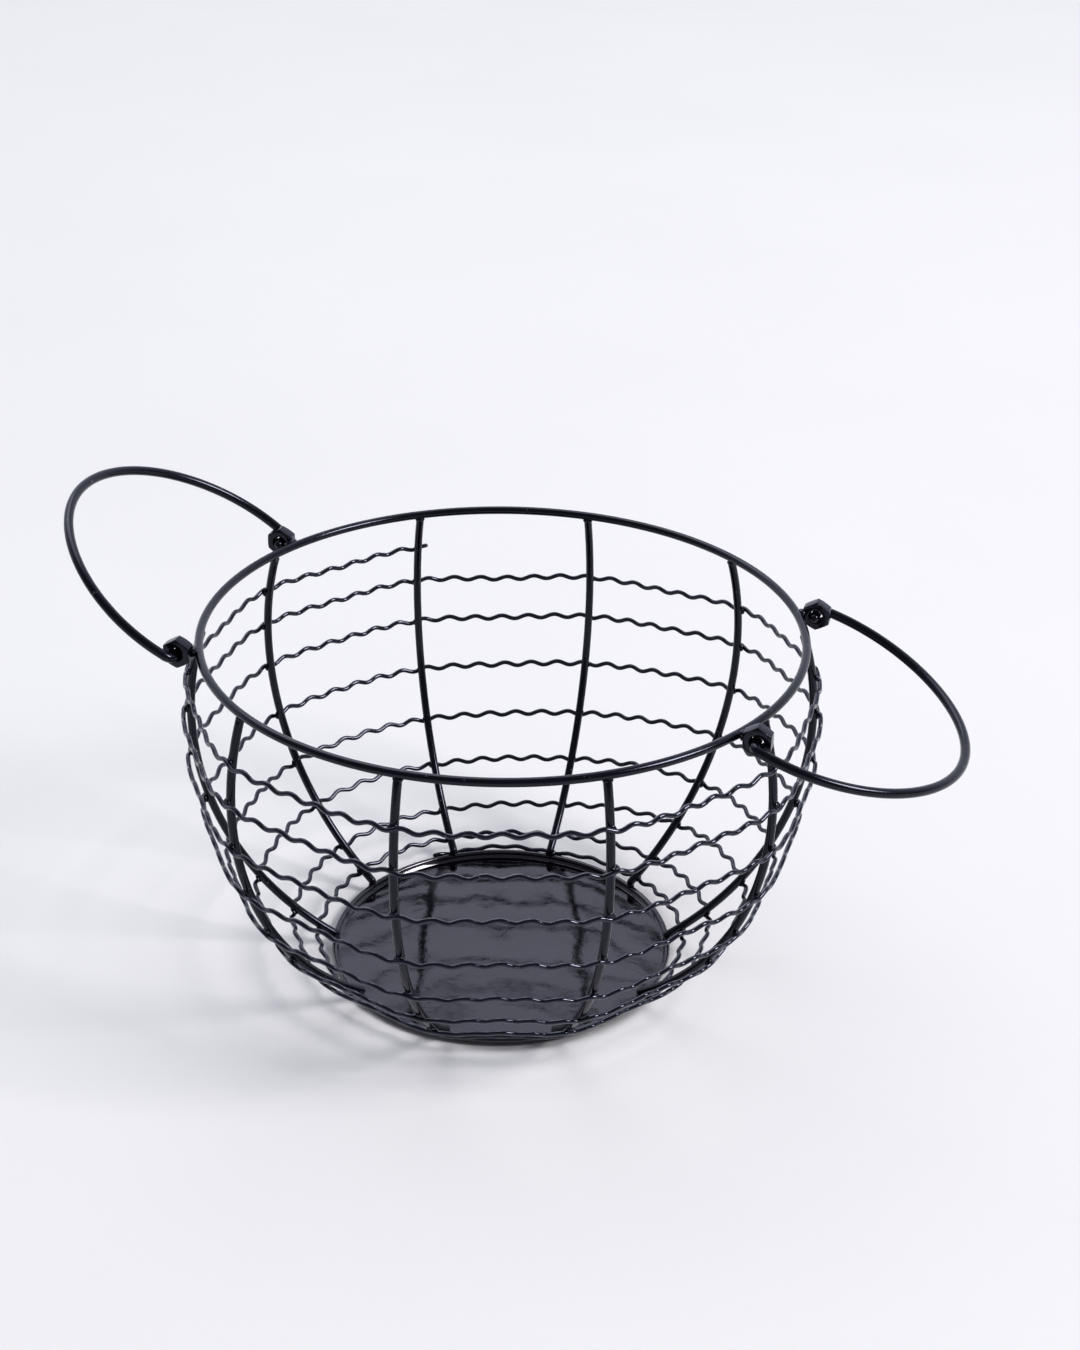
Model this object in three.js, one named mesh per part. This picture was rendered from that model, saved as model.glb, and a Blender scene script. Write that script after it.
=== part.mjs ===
// Wire produce basket: a round rim ring, ten bowed ribs, a shallow stamped tray, one crimped wire wound
// round the ribs, and two bail handles that turn in hex nuts welded to the rim.
// Millimetres, +Z up. The origin is the centre of the tray's underside; the handles lie on +X and -X.
import * as THREE from "three";

// Overall sizes
const RIM_RADIUS = 125; // centreline of the rim ring
const RIM_HEIGHT = 157; // centreline of the rim ring above the table
const TRAY_RADIUS = 75; // outside of the tray's rolled lip
const TRAY_HEIGHT = 4.2; // table to the top of the lip
const BELLY_BULGE = 6.3; // how far the ribs bow out past the rim
const BELLY_DROP = 42; // from the rim down to where the ribs are widest

// Wires and sheet
const RIM_WIRE = 3.6;
const RIB_WIRE = 3.6;
const CRIMP_WIRE = 2;
const HANDLE_WIRE = 4;
const TRAY_SHEET = 1;
const LIP_BEAD = 2.4; // diameter of the rolled lip
const TRAY_FLARE = 1.2; // how far the tray wall leans out
const TRAY_CORNER = 1.6; // outside radius between the wall and the underside

// Ribs
const RIB_COUNT = 10;
const RIB_PITCH = 360 / RIB_COUNT; // degrees
const FIRST_RIB = RIB_PITCH / 2; // the handles sit midway between two ribs
const RIB_ROUNDNESS = 1.2; // height of the rib's ellipse over the belly-to-foot height

// Crimped wire: where each turn starts, top to bottom, and where the last one ends, as shares of the rib's rise.
// The last turn ends just under the ribs' feet, wound against the tray's lip.
const TURN_SHARES = [0.878, 0.761, 0.625, 0.471, 0.323, 0.2, 0.0885, 0.027, -0.005];
const CRIMP_PITCH = 12.5; // length of one wave
const CRIMP_DEPTH = 0.85; // half the height of a wave
const START_RIB = 3; // the rib where the wire starts and ends
const START_STUB = 4.5; // length of wire before the start rib's centre
const STEP_FROM = 0.66; // share of a turn where the wire leaves its level and drops to the next
const STEP_TO = 0.98;
const CRIMP_SLACK = 0.5; // how far the wire flattens towards the chord between two ribs, as a share

// Handles and their nuts
const NUT_ACROSS_FLATS = 11.1;
const NUT_THICKNESS = 5.6;
const NUT_BORE = 5.4;
const NUT_ANGLE = 25.5; // each side of the handle's centre, degrees
const HANDLE_REACH = 77.5; // hinge line to the middle of the grip
const HANDLE_SHOULDER = 4; // bend radius where the leg turns into the nut
const HANDLE_OVERSHOOT = 0.5; // how far the wire's end stands out of the nut
const LEG_REACH = 40; // how far out the legs' direction carries before they curve in
const LEG_SPLAY = 5.4; // how far apart the legs spread on each side
const GRIP_HALF = 38; // how far the grip's direction carries to each side before it curves in
const TILT_RIGHT = -20; // resting angle above the horizontal, degrees
const TILT_LEFT = 33;
const FACING_RIGHT = 0; // direction of each handle seen from above, degrees
const FACING_LEFT = 181.8; // this pair of nuts is welded a little out of line with the other

// Clearances
const WELD_GAP = 0.3; // between welded pieces
const SHOULDER_GAP = 0.5; // nut face to the start of the handle's bend

// Fineness of the round pieces
const RIM_SEGMENTS = 72;
const WIRE_SIDES = 8;
const CRIMP_SIDES = 4;
const RIB_STEPS = 12;
const TRAY_SEGMENTS = 60;
const BORE_SEGMENTS = 16;

const rad = THREE.MathUtils.degToRad;
const basket = new THREE.Group();
basket.name = "basket";

function coat(colour) {
  return new THREE.MeshStandardMaterial({ color: colour, roughness: 0.24, metalness: 0.15 });
}

function place(name, geometry, material, parent = basket) {
  const mesh = new THREE.Mesh(geometry, material);
  mesh.name = name;
  parent.add(mesh);
  return mesh;
}

// A regular polygon in place of a wire's round section, with a corner on its first axis.
function section(radius, sides) {
  const corners = Array.from({ length: sides }, (_, i) => {
    const a = (2 * Math.PI * i) / sides;
    return new THREE.Vector2(radius * Math.cos(a), radius * Math.sin(a));
  });
  return new THREE.Shape(corners);
}

// A curve that is stepped evenly in its own parameter, so that its corners fall on the steps.
class EvenCurve extends THREE.Curve {
  constructor(pointAt) {
    super();
    this.pointAt = pointAt;
  }
  getPoint(t) {
    return this.pointAt(t);
  }
  getUtoTmapping(u) {
    return u;
  }
}

function wire(pointAt, diameter, sides, steps) {
  const options = { steps, extrudePath: new EvenCurve(pointAt), bevelEnabled: false };
  return new THREE.ExtrudeGeometry(section(diameter / 2, sides), options);
}

// ---- Rib outline: an ellipse, flatter above the belly than below it ----
const bellyRadius = RIM_RADIUS + BELLY_BULGE;
const bellyHeight = RIM_HEIGHT - BELLY_DROP;
const footRadius = TRAY_RADIUS - LIP_BEAD / 2;
const footHeight = TRAY_HEIGHT + WELD_GAP + RIB_WIRE / 2;
const topHeight = RIM_HEIGHT - RIM_WIRE / 2 - WELD_GAP;
const outlineHalf = (bellyHeight - footHeight) * RIB_ROUNDNESS;
const footTurn = -Math.asin((bellyHeight - footHeight) / outlineHalf);
const topTurn = Math.asin((topHeight - bellyHeight) / outlineHalf);
const lowerDepth = (bellyRadius - footRadius) / (1 - Math.cos(footTurn));
const upperDepth = BELLY_BULGE / (1 - Math.cos(topTurn));

// Radius and height of the rib's centreline at a turn of its ellipse, and its direction there.
function outline(turn) {
  const depth = turn < 0 ? lowerDepth : upperDepth;
  const point = new THREE.Vector2(
    bellyRadius - depth * (1 - Math.cos(turn)),
    bellyHeight + outlineHalf * Math.sin(turn),
  );
  const along = new THREE.Vector2(-depth * Math.sin(turn), outlineHalf * Math.cos(turn));
  return { point, along: along.normalize() };
}

function polar(radius, angle, height) {
  return new THREE.Vector3(radius * Math.cos(angle), radius * Math.sin(angle), height);
}

// ---- Rim ----
const rim = new THREE.TorusGeometry(RIM_RADIUS, RIM_WIRE / 2, WIRE_SIDES, RIM_SEGMENTS);
rim.translate(0, 0, RIM_HEIGHT);
place("rim_ring", rim, coat(0x141416));

// ---- Ribs ----
for (let i = 0; i < RIB_COUNT; i++) {
  const rib = wire(
    (t) => {
      const { point } = outline(THREE.MathUtils.lerp(footTurn, topTurn, t));
      return polar(point.x, 0, point.y);
    },
    RIB_WIRE,
    WIRE_SIDES,
    RIB_STEPS,
  );
  const mesh = place(`rib_${i + 1}`, rib, coat(0x161618));
  mesh.rotation.z = rad(FIRST_RIB + i * RIB_PITCH);
}

// ---- Tray: a stamped dish with a flared wall and a rolled lip ----
function arc(x, y, radius, from, to, steps) {
  return Array.from({ length: steps + 1 }, (_, i) => {
    const a = rad(THREE.MathUtils.lerp(from, to, i / steps));
    return new THREE.Vector2(x + radius * Math.cos(a), y + radius * Math.sin(a));
  });
}
const bead = LIP_BEAD / 2;
const beadAt = new THREE.Vector2(TRAY_RADIUS - bead, TRAY_HEIGHT - bead);
const cornerX = beadAt.x - TRAY_FLARE - TRAY_CORNER / 2;
const innerCorner = TRAY_CORNER - TRAY_SHEET;
const trayProfile = [
  new THREE.Vector2(0, 0),
  ...arc(cornerX, TRAY_CORNER, TRAY_CORNER, -90, -45, 2),
  ...arc(beadAt.x, beadAt.y, bead, -45, 225, 6),
  ...arc(cornerX, TRAY_CORNER, innerCorner, -45, -90, 2),
  new THREE.Vector2(0, TRAY_SHEET),
];
const tray = new THREE.LatheGeometry(trayProfile, TRAY_SEGMENTS);
tray.rotateX(Math.PI / 2);
place("base_tray", tray, coat(0x1b1b1e));

// ---- Crimped wire, one node for each turn, its ends a weld gap apart ----
const crimpStandoff = RIB_WIRE / 2 + CRIMP_WIRE / 2 + WELD_GAP;
const startAngle = rad(FIRST_RIB + START_RIB * RIB_PITCH) - START_STUB / bellyRadius;
const chordRise = 1 - Math.cos(rad(RIB_PITCH / 2));

function turnOfHeight(height) {
  return Math.asin((height - bellyHeight) / outlineHalf);
}

const lipClearance = TRAY_RADIUS + CRIMP_WIRE / 2 + WELD_GAP;
const turnHeights = TURN_SHARES.map((share) => THREE.MathUtils.lerp(footHeight, topHeight, share));

for (let i = 0; i + 1 < turnHeights.length; i++) {
  const [high, low] = [turnHeights[i], turnHeights[i + 1]];
  const middle = outline(turnOfHeight((high + low) / 2)).point.x + crimpStandoff;
  const waves = Math.round((2 * Math.PI * middle) / CRIMP_PITCH);
  const gapShare = WELD_GAP / (2 * Math.PI * middle);
  const turn = (t) => {
    const share = t * (1 - gapShare);
    const drop = THREE.MathUtils.smoothstep(share, STEP_FROM, STEP_TO);
    const { point, along } = outline(turnOfHeight(THREE.MathUtils.lerp(high, low, drop)));
    const angle = startAngle + 2 * Math.PI * share;
    const betweenRibs = Math.sin((RIB_COUNT * (angle - rad(FIRST_RIB))) / 2) ** 2;
    const slack = CRIMP_SLACK * point.x * chordRise * betweenRibs;
    const wave = CRIMP_DEPTH * Math.cos(2 * Math.PI * waves * t);
    const out = crimpStandoff - slack;
    const fromAxis = Math.max(point.x + along.y * out + along.x * wave, lipClearance);
    return polar(fromAxis, angle, point.y - along.x * out + along.y * wave);
  };
  place(`crimped_turn_${i + 1}`, wire(turn, CRIMP_WIRE, CRIMP_SIDES, 2 * waves), coat(0x19191c));
}

// ---- Handle nuts: a flat faces the rim, the bore runs along the hinge line ----
const lean = rad(NUT_ANGLE);
const nutToRim = (NUT_ACROSS_FLATS * Math.cos(lean) + NUT_THICKNESS * Math.sin(lean)) / 2;
const nutRadius = RIM_RADIUS + RIM_WIRE / 2 + WELD_GAP + nutToRim;
const hingeX = nutRadius * Math.cos(lean);
const nutY = nutRadius * Math.sin(lean);

const HANDLES = [
  { side: "right", facing: FACING_RIGHT, tilt: TILT_RIGHT, ends: ["back", "front"] },
  { side: "left", facing: FACING_LEFT, tilt: TILT_LEFT, ends: ["front", "back"] },
];

const hexagon = new THREE.Shape(
  Array.from({ length: 6 }, (_, i) => {
    const corner = NUT_ACROSS_FLATS / Math.sqrt(3);
    const a = rad(60 * i + 30);
    return new THREE.Vector2(corner * Math.cos(a), corner * Math.sin(a));
  }),
);
hexagon.holes.push(new THREE.Path().absarc(0, 0, NUT_BORE / 2, 0, 2 * Math.PI, true));
const nutOptions = { depth: NUT_THICKNESS, bevelEnabled: false, curveSegments: BORE_SEGMENTS };
for (const { side, facing, ends } of HANDLES) {
  const pair = new THREE.Group();
  pair.rotation.z = rad(facing);
  basket.add(pair);
  ends.forEach((end, i) => {
    const nut = new THREE.ExtrudeGeometry(hexagon, nutOptions);
    nut.translate(0, 0, -NUT_THICKNESS / 2);
    nut.rotateX(Math.PI / 2);
    const mesh = place(`nut_${side}_${end}`, nut, coat(0x111114), pair);
    mesh.position.set(hingeX, (1 - 2 * i) * nutY, RIM_HEIGHT);
  });
}

// ---- Handles: one wire, a D in plan, with both ends turned in along the hinge line ----
const innerEnd = nutY - NUT_THICKNESS / 2 - HANDLE_OVERSHOOT;
const bendStart = nutY + NUT_THICKNESS / 2 + SHOULDER_GAP;
const legY = bendStart + HANDLE_SHOULDER;
const shoulder = new THREE.Vector3(HANDLE_SHOULDER, legY, 0);
const halfHandle = [
  {
    steps: 2,
    curve: new THREE.LineCurve3(new THREE.Vector3(0, innerEnd, 0), new THREE.Vector3(0, bendStart, 0)),
  },
  {
    steps: 4,
    curve: new THREE.QuadraticBezierCurve3(
      new THREE.Vector3(0, bendStart, 0),
      new THREE.Vector3(0, legY, 0),
      shoulder,
    ),
  },
  {
    steps: 16,
    curve: new THREE.CubicBezierCurve3(
      shoulder,
      new THREE.Vector3(LEG_REACH, legY + LEG_SPLAY, 0),
      new THREE.Vector3(HANDLE_REACH, GRIP_HALF, 0),
      new THREE.Vector3(HANDLE_REACH, 0, 0),
    ),
  },
];
const halfSteps = halfHandle.reduce((sum, piece) => sum + piece.steps, 0);

function halfPoint(share) {
  let step = share * halfSteps;
  for (const piece of halfHandle) {
    if (step <= piece.steps) return piece.curve.getPoint(step / piece.steps);
    step -= piece.steps;
  }
  return new THREE.Vector3(HANDLE_REACH, 0, 0);
}

function handlePoint(t) {
  const point = halfPoint(1 - Math.abs(2 * t - 1));
  if (t > 0.5) point.y = -point.y;
  return point;
}

for (const { side, facing, tilt } of HANDLES) {
  const arm = new THREE.Group();
  arm.rotation.z = rad(facing);
  basket.add(arm);
  const handle = wire(handlePoint, HANDLE_WIRE, WIRE_SIDES, 2 * halfSteps);
  const mesh = place(`handle_${side}`, handle, coat(0x121214), arm);
  mesh.position.set(hingeX, 0, RIM_HEIGHT);
  mesh.rotation.y = rad(-tilt);
}

export default basket;
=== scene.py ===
import math
import bpy
import bmesh
from mathutils import Matrix, Vector


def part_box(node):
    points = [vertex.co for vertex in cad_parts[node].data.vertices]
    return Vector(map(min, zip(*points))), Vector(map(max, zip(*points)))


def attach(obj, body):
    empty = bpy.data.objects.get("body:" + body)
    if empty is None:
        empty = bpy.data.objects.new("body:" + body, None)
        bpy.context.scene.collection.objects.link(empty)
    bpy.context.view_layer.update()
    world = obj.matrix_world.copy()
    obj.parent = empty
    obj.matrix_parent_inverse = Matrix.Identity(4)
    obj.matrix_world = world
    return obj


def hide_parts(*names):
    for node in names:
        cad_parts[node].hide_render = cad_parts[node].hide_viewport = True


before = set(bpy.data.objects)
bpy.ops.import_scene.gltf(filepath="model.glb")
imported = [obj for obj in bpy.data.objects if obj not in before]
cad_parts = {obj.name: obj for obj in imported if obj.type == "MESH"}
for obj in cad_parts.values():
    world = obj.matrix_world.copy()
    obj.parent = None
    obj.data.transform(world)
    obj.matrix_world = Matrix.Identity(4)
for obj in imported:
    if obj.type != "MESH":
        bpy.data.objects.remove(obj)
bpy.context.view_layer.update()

MM = 0.001      # the sizes below are written in millimetres

# ---- Camera ----
# The basket is seen from the front right and from above, with the bowl open to the viewer.
# One ordinary lens at about a metre, turned a little so that there is room over the basket.
camera_data = bpy.data.cameras.new("camera")
camera = bpy.data.objects.new("camera", camera_data)
bpy.context.scene.collection.objects.link(camera)
bpy.context.scene.camera = camera
camera_data.sensor_width = 36
camera_data.lens = 60.66
camera_data.clip_start = 0.05
camera_data.clip_end = 20
HEADING = math.radians(17.95)
across = Vector((math.cos(HEADING), math.sin(HEADING), 0))
away = Vector((-math.sin(HEADING), math.cos(HEADING), 0))
up = Vector((0, 0, 1))
eye_distance = 1.02183
eye_rise = math.radians(34.33)
eye_drop = 0.2 * MM
turn_right, turn_up, lean_over = 0.0163, 0.1187, 0.0052
eye = -away * eye_distance * math.cos(eye_rise) + up * eye_distance * math.sin(eye_rise)
forward = -eye.normalized()
upward = across.cross(forward)
right_1 = across * math.cos(turn_right) - forward * math.sin(turn_right)
forward_1 = forward * math.cos(turn_right) + across * math.sin(turn_right)
upward_1 = upward * math.cos(turn_up) - forward_1 * math.sin(turn_up)
forward_2 = forward_1 * math.cos(turn_up) + upward * math.sin(turn_up)
right_2 = right_1 * math.cos(lean_over) + upward_1 * math.sin(lean_over)
upward_2 = upward_1 * math.cos(lean_over) - right_1 * math.sin(lean_over)
turned = Matrix((right_2, upward_2, -forward_2)).transposed().to_4x4()
camera.matrix_world = Matrix.Translation(eye - up * eye_drop) @ turned

# ---- Rim ring ----
# A 3.6 mm steel wire rolled into a hoop 250 mm across and butt welded, level at the top of the bowl.
# It is dipped with everything else in gloss black powder coat, which pools a little and has a fine skin.
RIM_RADIUS = 125 * MM
RIM_WIRE = 3.6 * MM
RIM_SIDES, RIM_STEPS = 18, 216
rim_low, rim_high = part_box("rim_ring")
RIM_HEIGHT = (rim_low.z + rim_high.z) / 2


def start_piece(name, add, **size):
    """Adds a primitive at its place with nothing else selected, and names it."""
    if bpy.context.mode != "OBJECT":
        bpy.ops.object.mode_set(mode="OBJECT")
    bpy.ops.object.select_all(action="DESELECT")
    add(**size)
    piece = bpy.context.object
    piece.name = name
    piece.data.name = name
    bpy.ops.object.transform_apply(location=True, rotation=True, scale=True)
    return piece


MERGE = 0.01 * MM


def close_up(piece, gap=MERGE):
    """Merges doubled points and turns every face outwards."""
    bpy.ops.object.mode_set(mode="EDIT")
    bpy.ops.mesh.select_all(action="SELECT")
    bpy.ops.mesh.remove_doubles(threshold=gap)
    bpy.ops.mesh.normals_make_consistent(inside=False)
    bpy.ops.object.mode_set(mode="OBJECT")
    bpy.ops.object.shade_smooth()


def black_coat(name, skin=1.0, gloss=0.16, shine=0.42, nibs=0.79):
    """Gloss black powder coat: near black, a fine orange peel, pooled patches and a few pale nibs."""
    coat = bpy.data.materials.new(name)
    coat.use_nodes = True
    nodes, links = coat.node_tree.nodes, coat.node_tree.links
    paint = nodes["Principled BSDF"]
    paint.inputs["Metallic"].default_value = 0
    paint.inputs["IOR"].default_value = 1.52
    paint.inputs["Specular Tint"].default_value = (0.74, 0.77, 1, 1)
    paint.inputs["Specular IOR Level"].default_value = shine
    paint.inputs["Coat Weight"].default_value = 0.1
    paint.inputs["Coat Roughness"].default_value = 0.05
    place = nodes.new("ShaderNodeTexCoord")

    def mottle(scale, detail, roughness=0.5):
        noise = nodes.new("ShaderNodeTexNoise")
        noise.inputs["Scale"].default_value = scale
        noise.inputs["Detail"].default_value = detail
        noise.inputs["Roughness"].default_value = roughness
        links.new(place.outputs["Object"], noise.inputs["Vector"])
        return noise.outputs["Fac"]

    pooled = nodes.new("ShaderNodeValToRGB")
    pooled.color_ramp.elements[0].position = 0.35
    pooled.color_ramp.elements[0].color = (0.0014, 0.0014, 0.0028, 1)
    pooled.color_ramp.elements[1].position = 0.72
    pooled.color_ramp.elements[1].color = (0.0038, 0.0038, 0.0066, 1)
    links.new(mottle(70, 3), pooled.inputs["Fac"])
    nib = nodes.new("ShaderNodeValToRGB")
    nib.color_ramp.elements[0].position = nibs
    nib.color_ramp.elements[0].color = (0, 0, 0, 1)
    nib.color_ramp.elements[1].position = nibs + 0.05
    nib.color_ramp.elements[1].color = (1, 1, 1, 1)
    links.new(mottle(520, 0), nib.inputs["Fac"])
    dusted = nodes.new("ShaderNodeMix")
    dusted.data_type = "RGBA"
    links.new(nib.outputs["Color"], dusted.inputs["Factor"])
    links.new(pooled.outputs["Color"], dusted.inputs["A"])
    dusted.inputs["B"].default_value = (0.06, 0.062, 0.07, 1)
    links.new(dusted.outputs["Result"], paint.inputs["Base Color"])

    rubbed = nodes.new("ShaderNodeMapRange")
    rubbed.inputs["From Min"].default_value = 0.3
    rubbed.inputs["From Max"].default_value = 0.7
    rubbed.inputs["To Min"].default_value = gloss - 0.04
    rubbed.inputs["To Max"].default_value = gloss + 0.04
    links.new(mottle(160, 4, 0.6), rubbed.inputs["Value"])
    links.new(rubbed.outputs["Result"], paint.inputs["Roughness"])

    ripple = nodes.new("ShaderNodeBump")
    ripple.inputs["Strength"].default_value = 1
    ripple.inputs["Distance"].default_value = 0.035 * MM * skin
    links.new(mottle(260, 2), ripple.inputs["Height"])
    peel = nodes.new("ShaderNodeBump")
    peel.inputs["Strength"].default_value = 1
    peel.inputs["Distance"].default_value = 0.008 * MM * skin
    links.new(mottle(1100, 2), peel.inputs["Height"])
    links.new(ripple.outputs["Normal"], peel.inputs["Normal"])
    links.new(peel.outputs["Normal"], paint.inputs["Normal"])
    return coat


rim = start_piece(
    "rim_hoop", bpy.ops.mesh.primitive_circle_add,
    vertices=RIM_SIDES, radius=RIM_WIRE / 2, location=(RIM_RADIUS, 0, RIM_HEIGHT), rotation=(math.pi / 2, 0, 0),
)
bpy.ops.object.mode_set(mode="EDIT")
bpy.ops.mesh.select_all(action="SELECT")
bpy.ops.mesh.spin(steps=RIM_STEPS, angle=2 * math.pi, center=(0, 0, RIM_HEIGHT), axis=(0, 0, 1))
close_up(rim)
rim.data.materials.append(black_coat("rim_coat"))
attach(rim, "basket")
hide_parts("rim_ring")

# ---- Ribs ----
# Ten 3.6 mm wires bowed to one pattern: widest 42 mm under the rim, then curling in to the tray's lip.
# Each is butt welded under the rim and sits with its foot on the lip.
RIB_COUNT = 10
RIB_WIRE = 3.6 * MM
FIRST_RIB = math.radians(18)
RIB_PITCH = math.radians(36)
BELLY_RADIUS = RIM_RADIUS + 6.3 * MM
BELLY_HEIGHT = RIM_HEIGHT - 42 * MM
FOOT_RADIUS = 73.8 * MM
FOOT_HEIGHT = 6.3 * MM
RIM_TO_TOP = 2.1 * MM
TOP_HEIGHT = RIM_HEIGHT - RIM_TO_TOP
ROUNDNESS = 1.2
outline_half = (BELLY_HEIGHT - FOOT_HEIGHT) * ROUNDNESS
foot_turn = -math.asin((BELLY_HEIGHT - FOOT_HEIGHT) / outline_half)
top_turn = math.asin((TOP_HEIGHT - BELLY_HEIGHT) / outline_half)
lower_depth = (BELLY_RADIUS - FOOT_RADIUS) / (1 - math.cos(foot_turn))
upper_depth = (BELLY_RADIUS - RIM_RADIUS) / (1 - math.cos(top_turn))


def bowl_side(turn):
    """Radius and height of the bowl's side at a turn of its outline, and its direction there."""
    depth = lower_depth if turn < 0 else upper_depth
    radius = BELLY_RADIUS - depth * (1 - math.cos(turn))
    height = BELLY_HEIGHT + outline_half * math.sin(turn)
    rise = Vector((-depth * math.sin(turn), outline_half * math.cos(turn))).normalized()
    return radius, height, rise


def turn_at(height):
    """The turn of the outline at a height."""
    return math.asin((height - BELLY_HEIGHT) / outline_half)


def wire_along(name, path, diameter, sides):
    """A round wire through a row of points, with both ends rounded over like a snipped and coated end."""
    first, last = Vector(path[0]), Vector(path[-1])
    back = (first - Vector(path[1])).normalized()
    on = (last - Vector(path[-2])).normalized()
    bites = [(0.45, 0.893), (0.75, 0.661), (0.93, 0.368), (1.0, 0.08)]
    row = [(first + back * diameter / 2 * out, thin) for out, thin in reversed(bites)]
    row += [(Vector(p), 1) for p in path]
    row += [(last + on * diameter / 2 * out, thin) for out, thin in bites]
    curve = bpy.data.curves.new(name, "CURVE")
    curve.dimensions = "3D"
    curve.bevel_depth = diameter / 2
    curve.bevel_resolution = sides // 2 - 2
    curve.use_fill_caps = True
    line = curve.splines.new("POLY")
    line.points.add(len(row) - 1)
    for point, (where, thin) in zip(line.points, row):
        point.co = (*where, 1)
        point.radius = thin
    piece = bpy.data.objects.new(name, curve)
    bpy.context.scene.collection.objects.link(piece)
    bpy.ops.object.select_all(action="DESELECT")
    bpy.context.view_layer.objects.active = piece
    piece.select_set(True)
    bpy.ops.object.convert(target="MESH")
    piece = bpy.context.object
    close_up(piece)
    return piece


rib_coat = black_coat("rib_coat", gloss=0.17)
RIB_STEPS = 56
RIB_SIDES = 12
rib_path = []
for step in range(RIB_STEPS + 1):
    radius, height, rise = bowl_side(foot_turn + (top_turn - foot_turn) * step / RIB_STEPS)
    rib_path.append((radius, 0, height))
pattern = wire_along("rib_pattern", rib_path, RIB_WIRE, RIB_SIDES)
pattern.data.materials.append(rib_coat)
for number in range(RIB_COUNT):
    bpy.ops.object.select_all(action="DESELECT")
    bpy.context.view_layer.objects.active = pattern
    pattern.select_set(True)
    bpy.ops.object.duplicate()
    rib = bpy.context.object
    rib.name = f"rib_wire_{number + 1}"
    rib.rotation_euler = (0, 0, FIRST_RIB + number * RIB_PITCH)
    bpy.ops.object.transform_apply(location=True, rotation=True, scale=True)
    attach(rib, "basket")
    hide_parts(f"rib_{number + 1}")
bpy.data.objects.remove(pattern)

# ---- Tray ----
# A round dish pressed from 1 mm sheet, with a flared wall and its edge rolled over into a bead.
# The wide flat floor shows the coat's orange peel and the slight wave that pressing leaves in thin sheet.
tray_low, tray_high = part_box("base_tray")
TRAY_RADIUS = tray_high.x
TRAY_TOP = tray_high.z
TRAY_SHEET = 1 * MM
LIP_BEAD = 1.2 * MM
WALL_FLARE = 2 * MM
OUTER_BEND = 1.6 * MM
INNER_BEND = OUTER_BEND - TRAY_SHEET
TRAY_SIDES = 180
bead_x, bead_z = TRAY_RADIUS - LIP_BEAD, TRAY_TOP - LIP_BEAD
corner_x, corner_z = bead_x - WALL_FLARE, OUTER_BEND
hub_x, ring_x = corner_x * 0.1, corner_x * 0.55


def bend(x, z, radius, start, end, steps):
    """Points round a bend of the sheet, seen in section."""
    turns = [math.radians(start + (end - start) * i / steps) for i in range(steps + 1)]
    return [(x + radius * math.cos(a), z + radius * math.sin(a)) for a in turns]


dish = [(ring_x, 0)]
dish += bend(corner_x, corner_z, OUTER_BEND, -90, -45, 6)
dish += bend(bead_x, bead_z, LIP_BEAD, -45, 225, 18)
dish += bend(corner_x, corner_z, INNER_BEND, -45, -90, 6)
dish += [(ring_x, TRAY_SHEET), (hub_x, TRAY_SHEET)]
tray = start_piece(
    "pressed_tray", bpy.ops.mesh.primitive_circle_add,
    vertices=TRAY_SIDES, radius=hub_x, fill_type="TRIFAN", location=(0, 0, 0),
)
bpy.ops.object.mode_set(mode="EDIT")
bpy.ops.mesh.select_all(action="DESELECT")
bpy.ops.mesh.select_mode(type="EDGE")
bpy.ops.mesh.select_non_manifold()
at_x, at_z = hub_x, 0
for x, z in dish:
    bpy.ops.mesh.extrude_edges_move(TRANSFORM_OT_translate={"value": (0, 0, z - at_z)})
    bpy.ops.transform.resize(value=(x / at_x, x / at_x, 1), center_override=(0, 0, z))
    at_x, at_z = x, z
bpy.ops.mesh.edge_face_add()
bpy.ops.mesh.poke()
bpy.ops.mesh.select_mode(type="VERT")
close_up(tray)
bpy.ops.object.shade_smooth_by_angle(angle=math.radians(50))

tray_coat = black_coat("tray_coat", skin=0.8, gloss=0.07, shine=1.0, nibs=0.93)
nodes, links = tray_coat.node_tree.nodes, tray_coat.node_tree.links
nodes["Principled BSDF"].inputs["Specular Tint"].default_value = (0.92, 0.88, 0.98, 1)
place = next(n for n in nodes if n.type == "TEX_COORD")
ripple = next(n for n in nodes if n.type == "BUMP" and not n.inputs["Normal"].is_linked)
wave = nodes.new("ShaderNodeTexNoise")
wave.inputs["Scale"].default_value = 27
wave.inputs["Detail"].default_value = 1
links.new(place.outputs["Object"], wave.inputs["Vector"])
sheet_wave = nodes.new("ShaderNodeBump")
sheet_wave.inputs["Strength"].default_value = 1
sheet_wave.inputs["Distance"].default_value = 0.75 * MM
links.new(wave.outputs["Fac"], sheet_wave.inputs["Height"])
links.new(sheet_wave.outputs["Normal"], ripple.inputs["Normal"])
tray.data.materials.append(tray_coat)
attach(tray, "basket")
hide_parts("base_tray")

# ---- Crimped wire ----
# One 2 mm wire, crimped into small waves and wound eight times round the outside of the ribs.
# Each turn runs level past the left and front, then steps down to the next between the right-hand ribs.
CRIMP_WIRE = 2 * MM
CRIMP_STANDOFF = 2.7 * MM
CRIMP_DEPTH = 0.85 * MM
CRIMP_PITCH = 12.5 * MM
CRIMP_SIDES = 8
STEP_FROM, STEP_LENGTH = 0.66, 0.32
START_STUB = 4.5 * MM
turn_shares = [0.878, 0.761, 0.625, 0.471, 0.323, 0.2, 0.0885, 0.027, -0.005]
turn_heights = [FOOT_HEIGHT + (TOP_HEIGHT - FOOT_HEIGHT) * share for share in turn_shares]
START_ANGLE = FIRST_RIB + 3 * RIB_PITCH - START_STUB / BELLY_RADIUS
chord_rise = 1 - math.cos(RIB_PITCH / 2)


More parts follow.
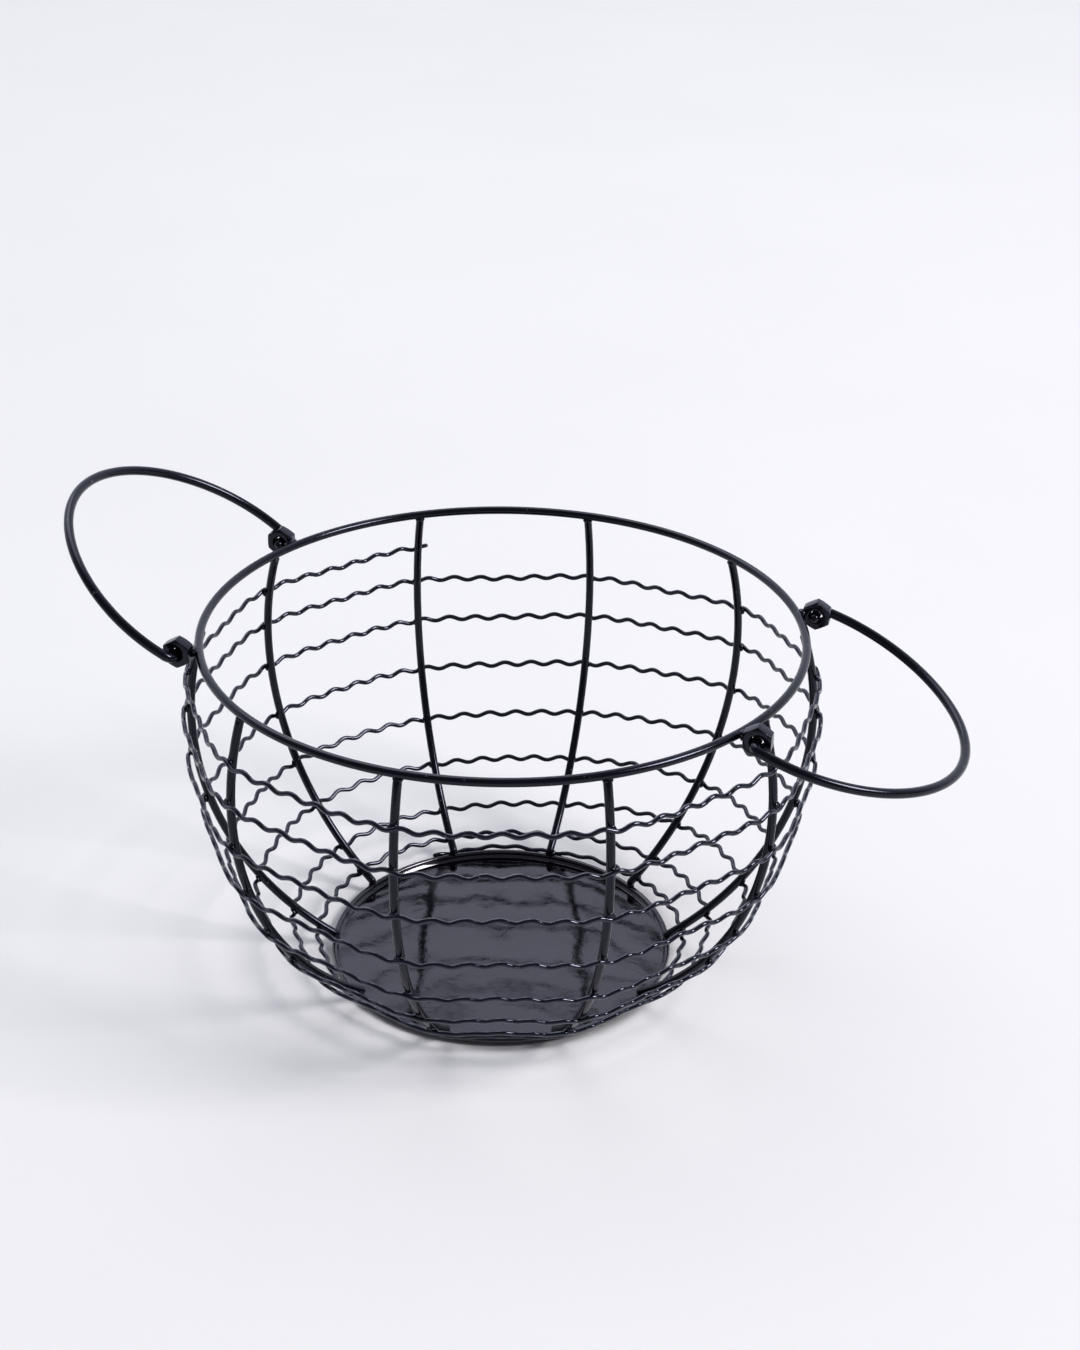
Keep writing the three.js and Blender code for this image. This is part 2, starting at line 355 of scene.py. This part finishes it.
def crimp_seat(number, share):
    """Height on the bowl's side where one turn of the wire lies, before its waves."""
    drop = min(max((share - STEP_FROM) / STEP_LENGTH, 0), 1)
    drop = drop * drop * (3 - 2 * drop)
    return turn_heights[number] + (turn_heights[number + 1] - turn_heights[number]) * drop


def crimp_point(number, share, wave):
    """A point on one turn of the wire, pushed up or down the side by its wave."""
    radius, height, rise = bowl_side(turn_at(crimp_seat(number, share)))
    angle = START_ANGLE + 2 * math.pi * share
    slack = 0.5 * radius * chord_rise * math.sin(RIB_COUNT * (angle - FIRST_RIB) / 2) ** 2
    out = CRIMP_STANDOFF - slack
    from_axis = max(radius + rise.y * out + rise.x * wave, TRAY_RADIUS + CRIMP_WIRE / 2)
    lifted = height - rise.x * out + rise.y * wave
    return Vector((from_axis * math.cos(angle), from_axis * math.sin(angle), lifted))


TURNS = 8
STEPS_PER_TURN = 720
STEPS_PAST_RIB = 18
crimp_points = []
run = 0.0
before = crimp_point(0, 0, 0)
for step in range(TURNS * STEPS_PER_TURN + STEPS_PAST_RIB):
    number = min(step // STEPS_PER_TURN, TURNS - 1)
    share = step / STEPS_PER_TURN - number
    centre = crimp_point(number, share, 0)
    run += (centre - before).length
    before = centre
    wave = CRIMP_DEPTH * math.cos(2 * math.pi * run / CRIMP_PITCH)
    crimp_points.append(crimp_point(number, share, wave))
crimped = wire_along("crimped_wire", crimp_points, CRIMP_WIRE, CRIMP_SIDES)
crimped.data.materials.append(black_coat("crimp_coat", gloss=0.08, shine=0.75))
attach(crimped, "basket")
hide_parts(*[f"crimped_turn_{number + 1}" for number in range(TURNS)])

# ---- Welds on the bowl ----
# Small resistance welds: where the crimped wire crosses each rib, under the rim, and at each rib's foot.
# The coat rounds them over into low, slightly uneven beads.


def weld_bead(name, length, width, thickness):
    """One rounded bead at the origin: length along x, width along y, thickness along z."""
    bead = start_piece(
        name, bpy.ops.mesh.primitive_uv_sphere_add,
        segments=12, ring_count=8, radius=1, location=(0, 0, 0),
    )
    bpy.ops.object.mode_set(mode="EDIT")
    bpy.ops.mesh.select_all(action="SELECT")
    bpy.ops.transform.resize(value=(length / 2, width / 2, thickness / 2), center_override=(0, 0, 0))
    bpy.ops.mesh.select_all(action="DESELECT")
    shape = bmesh.from_edit_mesh(bead.data)
    for point in shape.verts:
        point.select = point.co.x > length * 0.2
    shape.select_flush(True)
    bmesh.update_edit_mesh(bead.data)
    bpy.ops.transform.resize(value=(1.08, 0.86, 1.1), center_override=(0, 0, 0))
    close_up(bead, gap=0.001 * MM)
    return bead


def set_beads(name, bead, places, coat):
    """Copies a bead to each place and joins the copies into one piece."""
    set_down = []
    for where, along, outward, swell in places:
        bpy.ops.object.select_all(action="DESELECT")
        bpy.context.view_layer.objects.active = bead
        bead.select_set(True)
        bpy.ops.object.duplicate()
        copy = bpy.context.object
        side = outward.cross(along).normalized()
        turned = Matrix((along.normalized(), side, along.normalized().cross(side))).transposed().to_4x4()
        copy.matrix_world = Matrix.Translation(where) @ turned @ Matrix.Scale(swell, 4)
        set_down.append(copy)
    bpy.ops.object.select_all(action="DESELECT")
    for copy in set_down:
        copy.select_set(True)
    bpy.context.view_layer.objects.active = set_down[0]
    bpy.ops.object.join()
    joined = bpy.context.object
    joined.name = name
    bpy.ops.object.transform_apply(location=True, rotation=True, scale=True)
    joined.data.materials.append(coat)
    bpy.data.objects.remove(bead)
    return joined


weld_coat = black_coat("weld_coat", skin=1.8, gloss=0.12, shine=0.6)
CROSSING_OUT = 1.65 * MM
TOP_DROP = 2.2 * MM
FOOT_IN, FOOT_DROP = 0.1 * MM, 1.8 * MM
crossings, tops, feet = [], [], []
for rib_number in range(RIB_COUNT):
    rib_angle = FIRST_RIB + rib_number * RIB_PITCH
    spoke = Vector((math.cos(rib_angle), math.sin(rib_angle), 0))
    sideways = Vector((-math.sin(rib_angle), math.cos(rib_angle), 0))
    for number in range(TURNS):
        share = ((rib_angle - START_ANGLE) / (2 * math.pi)) % 1
        crossing = crimp_seat(number, share)
        radius, height, rise = bowl_side(turn_at(crossing))
        outward = spoke * rise.y - up * rise.x
        along = spoke * rise.x + up * rise.y
        seat = spoke * radius + up * height + outward * CROSSING_OUT
        uneven = 0.9 + 0.2 * math.sin(5.1 * rib_number + 2.3 * number) ** 2
        crossings.append((seat, along, outward, uneven))
    tops.append((spoke * RIM_RADIUS + up * (RIM_HEIGHT - TOP_DROP), sideways, spoke, 1))
    radius, height, rise = bowl_side(foot_turn)
    feet.append((spoke * (radius - FOOT_IN) + up * (height - FOOT_DROP), sideways, up, 1))

crossing_bead = weld_bead("crossing_bead", 3.8 * MM, 4.6 * MM, 1.7 * MM)
crossing_welds = set_beads("crossing_welds", crossing_bead, crossings, weld_coat)
top_bead = weld_bead("top_bead", 4.3 * MM, 2.6 * MM, 3.7 * MM)
top_welds = set_beads("rim_welds", top_bead, tops, weld_coat)
foot_bead = weld_bead("foot_bead", 4.3 * MM, 2.6 * MM, 3.7 * MM)
foot_welds = set_beads("foot_welds", foot_bead, feet, weld_coat)
for welds in (crossing_welds, top_welds, foot_welds):
    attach(welds, "basket")

# ---- Nuts ----
# Four quarter-inch hex nuts, chamfered on both faces, welded to the outside of the rim, one corner up.
# Each pair shares one hinge line; the coat has half filled their threads.
NUT_FLATS = 11.1 * MM
NUT_THICK = 5.6 * MM
NUT_BORE = 5.4 * MM
THREADS = 4
THREAD_DEPTH = 0.28 * MM
MOUTH_EASE = 0.45 * MM
MOUTH_DEPTH = 0.5 * MM
NUT_EASE = 0.16 * MM
nut_angle = math.radians(25.5)
nut_to_rim = (NUT_FLATS * math.cos(nut_angle) + NUT_THICK * math.sin(nut_angle)) / 2
NUT_GAP = 0.3 * MM
nut_radius = RIM_RADIUS + RIM_WIRE / 2 + NUT_GAP + nut_to_rim
HINGE_X = nut_radius * math.cos(nut_angle)
NUT_Y = nut_radius * math.sin(nut_angle)
LEFT_FACING = math.radians(181.8)

blank = start_piece(
    "nut_blank", bpy.ops.mesh.primitive_circle_add,
    vertices=64, radius=NUT_BORE / 2, location=(0, NUT_THICK / 2, 0), rotation=(math.pi / 2, 0, 0),
)
corner_reach = NUT_FLATS / math.sqrt(3)
face_reach = NUT_FLATS / 2 * 0.96
past_corner = corner_reach * 1.02
chamfer = (past_corner - face_reach) * math.tan(math.radians(30))
thread_pitch = (NUT_THICK - 2 * MOUTH_DEPTH) / THREADS
bore, mouth, nut_face = NUT_BORE / 2, NUT_BORE / 2 + MOUTH_EASE, NUT_THICK / 2
section = [(mouth, -nut_face)]
for ring in range(THREADS):
    near = -nut_face + MOUTH_DEPTH + thread_pitch * ring
    section.append((bore, near))
    section.append((bore + THREAD_DEPTH, near + thread_pitch / 2))
section += [(bore, nut_face - MOUTH_DEPTH), (mouth, nut_face), (face_reach, nut_face)]
section += [(past_corner, nut_face - chamfer), (past_corner, chamfer - nut_face)]
section += [(face_reach, -nut_face), (mouth, -nut_face)]
bpy.ops.object.mode_set(mode="EDIT")
bpy.ops.mesh.select_all(action="SELECT")
at_r, at_y = section[0][0], section[0][1]
bpy.ops.transform.resize(value=(at_r / bore, 1, at_r / bore), center_override=(0, 0, 0))
bpy.ops.transform.translate(value=(0, at_y - nut_face, 0))
for r, y in section[1:]:
    bpy.ops.mesh.extrude_edges_move(TRANSFORM_OT_translate={"value": (0, y - at_y, 0)})
    bpy.ops.transform.resize(value=(r / at_r, 1, r / at_r), center_override=(0, y, 0))
    at_r, at_y = r, y
close_up(blank)

nut = start_piece(
    "nut_pattern", bpy.ops.mesh.primitive_cylinder_add,
    vertices=6, radius=corner_reach, depth=NUT_THICK * 1.2, location=(0, 0, 0), rotation=(math.pi / 2, 0, 0),
)
corner = max(nut.data.vertices, key=lambda v: v.co.z)
if corner.co.z < corner_reach * 0.99:
    nut.rotation_euler = (0, math.radians(30), 0)
    bpy.ops.object.transform_apply(location=True, rotation=True, scale=True)
turned_down = nut.modifiers.new("turned_down", "BOOLEAN")
turned_down.operation = "INTERSECT"
turned_down.solver = "EXACT"
turned_down.object = blank
bpy.ops.object.modifier_apply(modifier="turned_down")
eased = nut.modifiers.new("eased", "BEVEL")
eased.width = NUT_EASE
eased.segments = 3
eased.limit_method = "ANGLE"
eased.angle_limit = math.radians(40)
bpy.ops.object.modifier_apply(modifier="eased")
close_up(nut, gap=0.002 * MM)
bpy.ops.object.shade_smooth_by_angle(angle=math.radians(32))
bpy.data.objects.remove(blank)
nut.data.materials.clear()
nut.data.materials.append(black_coat("nut_coat", skin=1.4, gloss=0.18))
nut_spots = []
for side, facing, ends in (("right", 0, ("back", "front")), ("left", LEFT_FACING, ("front", "back"))):
    for end, y in zip(ends, (NUT_Y, -NUT_Y)):
        turn = Matrix.Rotation(facing, 4, "Z")
        spot = turn @ Vector((HINGE_X, y, RIM_HEIGHT))
        bpy.ops.object.select_all(action="DESELECT")
        bpy.context.view_layer.objects.active = nut
        nut.select_set(True)
        bpy.ops.object.duplicate()
        copy = bpy.context.object
        copy.name = f"hinge_nut_{side}_{end}"
        copy.location = spot
        copy.rotation_euler = (0, 0, facing)
        bpy.ops.object.transform_apply(location=True, rotation=True, scale=True)
        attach(copy, "basket")
        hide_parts(f"nut_{side}_{end}")
        nut_spots.append(spot)
bpy.data.objects.remove(nut)

# ---- Nut welds ----
# A short fillet of weld holds each nut's inner edge to the rim, with a second, smaller bead under it.
# The coat runs over both, so they read as one rounded swelling of the rim.
nut_bead = weld_bead("nut_bead", 4.6 * MM, 2.9 * MM, 3.4 * MM)
fillets = []
FILLET_OUT = 2 * MM
for spot in nut_spots:
    spoke = Vector((spot.x, spot.y, 0)).normalized()
    sideways = up.cross(spoke)
    outer = 1 if (spoke.y > 0) == (sideways.y > 0) else -1
    for drop, slide, swell in ((0.9, 0.9, 1), (-1.4, 0.4, 0.86)):
        where = spoke * (RIM_RADIUS + FILLET_OUT) + up * (RIM_HEIGHT + drop * MM)
        where += sideways * outer * slide * MM
        fillets.append((where, sideways, spoke, swell))
nut_welds = set_beads("nut_welds", nut_bead, fillets, weld_coat)
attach(nut_welds, "basket")

# ---- Handles ----
# Two bails of 4 mm wire, each a D in plan; both ends turn inwards and sit loose in the nuts.
# They are coated before they are sprung in, so they swing freely. They rest where they were left.
HANDLE_WIRE = 4 * MM
HANDLE_REACH = 77.5 * MM
HANDLE_SIDES = 16
OVERSHOOT = 0.5 * MM
SHOULDER = 4 * MM
LEG_REACH, LEG_SPLAY = 40 * MM, 5.4 * MM
GRIP_HALF = 38 * MM
SHOULDER_STEPS, GRIP_STEPS = 12, 56
inner_end = NUT_Y - NUT_THICK / 2 - OVERSHOOT
bend_start = NUT_Y + NUT_THICK / 2 + OVERSHOOT
leg_y = bend_start + SHOULDER


def blend_points(corners, steps):
    """Points on a smooth bend pulled by its corner points."""
    row = []
    for step in range(1, steps + 1):
        share = step / steps
        level = [Vector(c) for c in corners]
        while len(level) > 1:
            level = [a.lerp(b, share) for a, b in zip(level, level[1:])]
        row.append(level[0])
    return row


half = [Vector((0, y, 0)) for y in (inner_end, (inner_end + bend_start) / 2, bend_start)]
half += blend_points([(0, bend_start, 0), (0, leg_y, 0), (SHOULDER, leg_y, 0)], SHOULDER_STEPS)
grip = [(SHOULDER, leg_y, 0), (LEG_REACH, leg_y + LEG_SPLAY, 0)]
grip += [(HANDLE_REACH, GRIP_HALF, 0), (HANDLE_REACH, 0, 0)]
half += blend_points(grip, GRIP_STEPS)
whole = half + [Vector((p.x, -p.y, 0)) for p in reversed(half[:-1])]
handle_coat = black_coat("handle_coat", gloss=0.18)
settle = {"right": Vector((-0.35, 0, -0.4)) * MM, "left": Vector((0.2, 0, -0.45)) * MM}
for side, facing, tilt in (("right", 0, -20), ("left", LEFT_FACING, 33)):
    swing = Matrix.Rotation(math.radians(-tilt), 4, "Y")
    turn = Matrix.Rotation(facing, 4, "Z")
    hinge = Matrix.Translation((HINGE_X, 0, RIM_HEIGHT))
    points = [turn @ hinge @ (swing @ p + settle[side]) for p in whole]
    handle = wire_along(f"bail_{side}", points, HANDLE_WIRE, HANDLE_SIDES)
    handle.data.materials.append(handle_coat)
    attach(handle, f"handle_{side}")
    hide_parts(f"handle_{side}")

# ---- Floor and light ----
# A plain pale paper floor, a broad soft light overhead and a smaller soft light at the right.
# The room is white behind the basket and dim in front of it.
FLOOR_SIZE = 9
floor = start_piece("paper_floor", bpy.ops.mesh.primitive_plane_add, size=FLOOR_SIZE, location=(0, 0, 0))
bpy.ops.object.mode_set(mode="EDIT")
bpy.ops.mesh.subdivide(number_cuts=3)
bpy.ops.object.mode_set(mode="OBJECT")
paper = bpy.data.materials.new("pale_paper")
paper.use_nodes = True
nodes, links = paper.node_tree.nodes, paper.node_tree.links
sheet = nodes["Principled BSDF"]
sheet.inputs["Roughness"].default_value = 0.8
sheet.inputs["Specular IOR Level"].default_value = 0.25
place = nodes.new("ShaderNodeTexCoord")
fibre = nodes.new("ShaderNodeTexNoise")
fibre.inputs["Scale"].default_value = 3
fibre.inputs["Detail"].default_value = 5
links.new(place.outputs["Object"], fibre.inputs["Vector"])
tone = nodes.new("ShaderNodeValToRGB")
tone.color_ramp.elements[0].position = 0.3
tone.color_ramp.elements[0].color = (0.777, 0.766, 0.767, 1)
tone.color_ramp.elements[1].position = 0.7
tone.color_ramp.elements[1].color = (0.797, 0.786, 0.787, 1)
links.new(fibre.outputs["Fac"], tone.inputs["Fac"])
links.new(tone.outputs["Color"], sheet.inputs["Base Color"])
floor.data.materials.append(paper)


def soft_light(name, where, aim, size, power, tint):
    """A square soft light of a size in metres and a power in watts."""
    lamp_data = bpy.data.lights.new(name, "AREA")
    lamp_data.shape = "SQUARE"
    lamp_data.size = size
    lamp_data.energy = power
    lamp_data.color = tint
    lamp = bpy.data.objects.new(name, lamp_data)
    bpy.context.scene.collection.objects.link(lamp)
    lamp.location = where
    lamp.rotation_euler = (Vector(aim) - Vector(where)).to_track_quat("-Z", "Y").to_euler()
    return lamp


WARM_WHITE = (1, 0.985, 0.975)
overhead_at = away * 2.2 - across * 0.9 + up * 3.6
right_at = (across * 0.72 - away * 0.25 + up * 0.65) * 6.5
soft_light("overhead", overhead_at, away * 1.2, 2.8, 36, WARM_WHITE)
soft_light("right_soft", right_at, (0, 0, 0.05), 2.2, 275, WARM_WHITE)

sky = bpy.data.worlds.new("white_room")
bpy.context.scene.world = sky
sky.use_nodes = True
nodes, links = sky.node_tree.nodes, sky.node_tree.links
glow = nodes["Background"]
place = nodes.new("ShaderNodeTexCoord")
facing_away = nodes.new("ShaderNodeVectorMath")
facing_away.operation = "DOT_PRODUCT"
links.new(place.outputs["Generated"], facing_away.inputs[0])
facing_away.inputs[1].default_value = away
room = nodes.new("ShaderNodeMapRange")
room.inputs["From Min"].default_value = -0.1
room.inputs["From Max"].default_value = 0.5
room.inputs["To Min"].default_value = 0.24
room.inputs["To Max"].default_value = 0.92
links.new(facing_away.outputs["Value"], room.inputs["Value"])
links.new(room.outputs["Result"], glow.inputs["Strength"])
glow.inputs["Color"].default_value = (0.84, 0.88, 1, 1)
bpy.context.scene.view_settings.view_transform = "Standard"
bpy.context.scene.view_settings.look = "Medium High Contrast"
